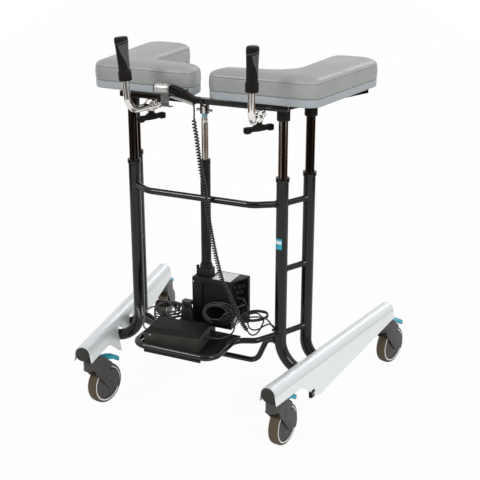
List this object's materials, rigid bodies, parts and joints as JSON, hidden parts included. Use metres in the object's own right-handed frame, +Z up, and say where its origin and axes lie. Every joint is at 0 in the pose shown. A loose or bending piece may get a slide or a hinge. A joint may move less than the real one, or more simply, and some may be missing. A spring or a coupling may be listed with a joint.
{
  "type": "rollator",
  "caption": "Height-adjustable forearm-support walker: splayed castor base, telescopic uprights with an electric lift, split forearm pads, upright grips and a handset on a curly lead.",
  "frame": {"origin": "on the floor at the middle of the walker's footprint", "axes": "+Z up; +Y from the front of the walker towards the person who walks in it; +X to the person's left hand as they look forwards, which is the right side seen from the front"},
  "size_m": [0.7964, 0.6955, 0.9752],
  "materials": {
    "frame_black": "gloss black powder coat on steel tube",
    "profile_silver": "satin silver anodised extrusion",
    "dark_plastic": "dark grey moulded plastic, fine grain",
    "caster_plastic": "warm dark grey moulded nylon",
    "wheel_tread": "taupe grey non-marking tread on a dark grey disc",
    "pedal_turquoise": "turquoise moulded plastic, slightly worn",
    "chrome": "bright chrome on steel",
    "pin_steel": "plain zinc-plated steel",
    "pad_vinyl": "satin grey vinyl over foam, sewn in a ribbed band",
    "grip_rubber": "black moulded rubber, matt",
    "handset_silver": "silver painted plastic",
    "bracket_grey": "grey painted sheet",
    "cord_black": "black soft cable jacket"
  },
  "bodies": {
    "frame": {"side_profile_left": "profile_silver", "arch_stop_left": "dark_plastic", "front_post_left": "frame_black", "rear_post_left": "frame_black", "profile_cap_front_left": "dark_plastic", "profile_cap_rear_left": "dark_plastic", "side_profile_right": "profile_silver", "arch_stop_right": "dark_plastic", "front_post_right": "frame_black", "rear_post_right": "frame_black", "profile_cap_front_right": "dark_plastic", "profile_cap_rear_right": "dark_plastic", "front_rail": "frame_black", "low_cross_tube": "frame_black", "tray_loop": "frame_black", "tray_panel": "frame_black", "charger": "dark_plastic", "actuator_body": "dark_plastic", "control_box": "dark_plastic", "curly_cord": "cord_black", "handset_lead": "cord_black", "handset_hank": "cord_black", "post_lead": "cord_black", "output_hank": "cord_black", "mains_hank": "cord_black", "mains_plug": "cord_black"},
    "upper": {"front_inner_tube_left": "chrome", "rear_inner_tube_left": "chrome", "forearm_pad_left": "pad_vinyl", "handle_clamp_left": "chrome", "front_inner_tube_right": "chrome", "rear_inner_tube_right": "chrome", "forearm_pad_right": "pad_vinyl", "handle_clamp_right": "chrome", "actuator_rod": "chrome", "lift_pin": "pin_steel", "upper_frame": "frame_black", "handset_shell": "handset_silver", "handset_body": "dark_plastic", "handset_hook": "bracket_grey"},
    "handle_left": {"handle_tube_left": "chrome", "grip_left": "grip_rubber"},
    "knob_left": {"clamp_knob_left": "dark_plastic"},
    "handle_right": {"handle_tube_right": "chrome", "grip_right": "grip_rubber"},
    "knob_right": {"clamp_knob_right": "dark_plastic"},
    "key_up": {"handset_key_up": "pedal_turquoise"},
    "key_down": {"handset_key_down": "pedal_turquoise"},
    "caster_front_left": {"caster_fork_front_left": "caster_plastic"},
    "wheel_front_left": {"wheel_front_left": "wheel_tread"},
    "pedal_front_left": {"brake_pedal_front_left": "pedal_turquoise"},
    "caster_front_right": {"caster_fork_front_right": "caster_plastic"},
    "wheel_front_right": {"wheel_front_right": "wheel_tread"},
    "pedal_front_right": {"brake_pedal_front_right": "pedal_turquoise"},
    "caster_rear_left": {"caster_fork_rear_left": "caster_plastic"},
    "wheel_rear_left": {"wheel_rear_left": "wheel_tread"},
    "pedal_rear_left": {"brake_pedal_rear_left": "pedal_turquoise"},
    "caster_rear_right": {"caster_fork_rear_right": "caster_plastic"},
    "wheel_rear_right": {"wheel_rear_right": "wheel_tread"},
    "pedal_rear_right": {"brake_pedal_rear_right": "pedal_turquoise"}
  },
  "joints": [
    {"name": "height_lift", "type": "slide", "parent": "frame", "child": "upper", "axis": [0, 0, 1], "range_m": [-0.1, 0.25], "deforming": ["curly_cord"]},
    {"name": "handle_reach_left", "type": "slide", "parent": "upper", "child": "handle_left", "axis": [0.1513, 0.9885, 0], "range_m": [-0.018, 0.03]},
    {"name": "clamp_screw_left", "type": "hinge", "parent": "upper", "child": "knob_left", "pos_m": [-0.14, -0.166, 0.768], "axis": [0, 0, -1], "range_deg": [0, 180]},
    {"name": "handle_reach_right", "type": "slide", "parent": "upper", "child": "handle_right", "axis": [-0.2079, 0.9781, 0], "range_m": [-0.018, 0.03]},
    {"name": "clamp_screw_right", "type": "hinge", "parent": "upper", "child": "knob_right", "pos_m": [0.1515, -0.166, 0.768], "axis": [0, 0, -1], "range_deg": [0, 180]},
    {"name": "key_up_press", "type": "slide", "parent": "upper", "child": "key_up", "axis": [0, 0, -1], "range_m": [0, 0.001], "stiffness_N_per_m": 600, "springref_m": -0.001},
    {"name": "key_down_press", "type": "slide", "parent": "upper", "child": "key_down", "axis": [0, 0, -1], "range_m": [0, 0.001], "stiffness_N_per_m": 600, "springref_m": -0.001},
    {"name": "swivel_front_left", "type": "hinge", "parent": "frame", "child": "caster_front_left", "pos_m": [-0.25996, -0.3115, 0.1545], "axis": [0, 0, 1], "continuous": true},
    {"name": "roll_front_left", "type": "hinge", "parent": "caster_front_left", "child": "wheel_front_left", "pos_m": [-0.25171, -0.26472, 0.0545], "axis": [0.9848, -0.1736, 0], "continuous": true},
    {"name": "brake_front_left", "type": "hinge", "parent": "caster_front_left", "child": "pedal_front_left", "pos_m": [-0.25128, -0.26226, 0.1265], "axis": [0.9848, -0.1736, 0], "range_deg": [-8, 12]},
    {"name": "swivel_front_right", "type": "hinge", "parent": "frame", "child": "caster_front_right", "pos_m": [0.25996, -0.3115, 0.1545], "axis": [0, 0, 1], "continuous": true},
    {"name": "roll_front_right", "type": "hinge", "parent": "caster_front_right", "child": "wheel_front_right", "pos_m": [0.26493, -0.26426, 0.0545], "axis": [0.9945, -0.1045, 0], "continuous": true},
    {"name": "brake_front_right", "type": "hinge", "parent": "caster_front_right", "child": "pedal_front_right", "pos_m": [0.26519, -0.26178, 0.1265], "axis": [0.9945, -0.1045, 0], "range_deg": [-8, 12]},
    {"name": "swivel_rear_left", "type": "hinge", "parent": "frame", "child": "caster_rear_left", "pos_m": [-0.35767, 0.24197, 0.1545], "axis": [0, 0, 1], "continuous": true},
    {"name": "roll_rear_left", "type": "hinge", "parent": "caster_rear_left", "child": "wheel_rear_left", "pos_m": [-0.36916, 0.28806, 0.0545], "axis": [0.9703, 0.2419, 0], "continuous": true},
    {"name": "brake_rear_left", "type": "hinge", "parent": "caster_rear_left", "child": "pedal_rear_left", "pos_m": [-0.36977, 0.29048, 0.1265], "axis": [0.9703, 0.2419, 0], "range_deg": [-8, 12]},
    {"name": "swivel_rear_right", "type": "hinge", "parent": "frame", "child": "caster_rear_right", "pos_m": [0.35767, 0.24197, 0.1545], "axis": [0, 0, 1], "continuous": true},
    {"name": "roll_rear_right", "type": "hinge", "parent": "caster_rear_right", "child": "wheel_rear_right", "pos_m": [0.36916, 0.28806, 0.0545], "axis": [0.9703, -0.2419, 0], "continuous": true},
    {"name": "brake_rear_right", "type": "hinge", "parent": "caster_rear_right", "child": "pedal_rear_right", "pos_m": [0.36977, 0.29048, 0.1265], "axis": [0.9703, -0.2419, 0], "range_deg": [-8, 12]}
  ]
}
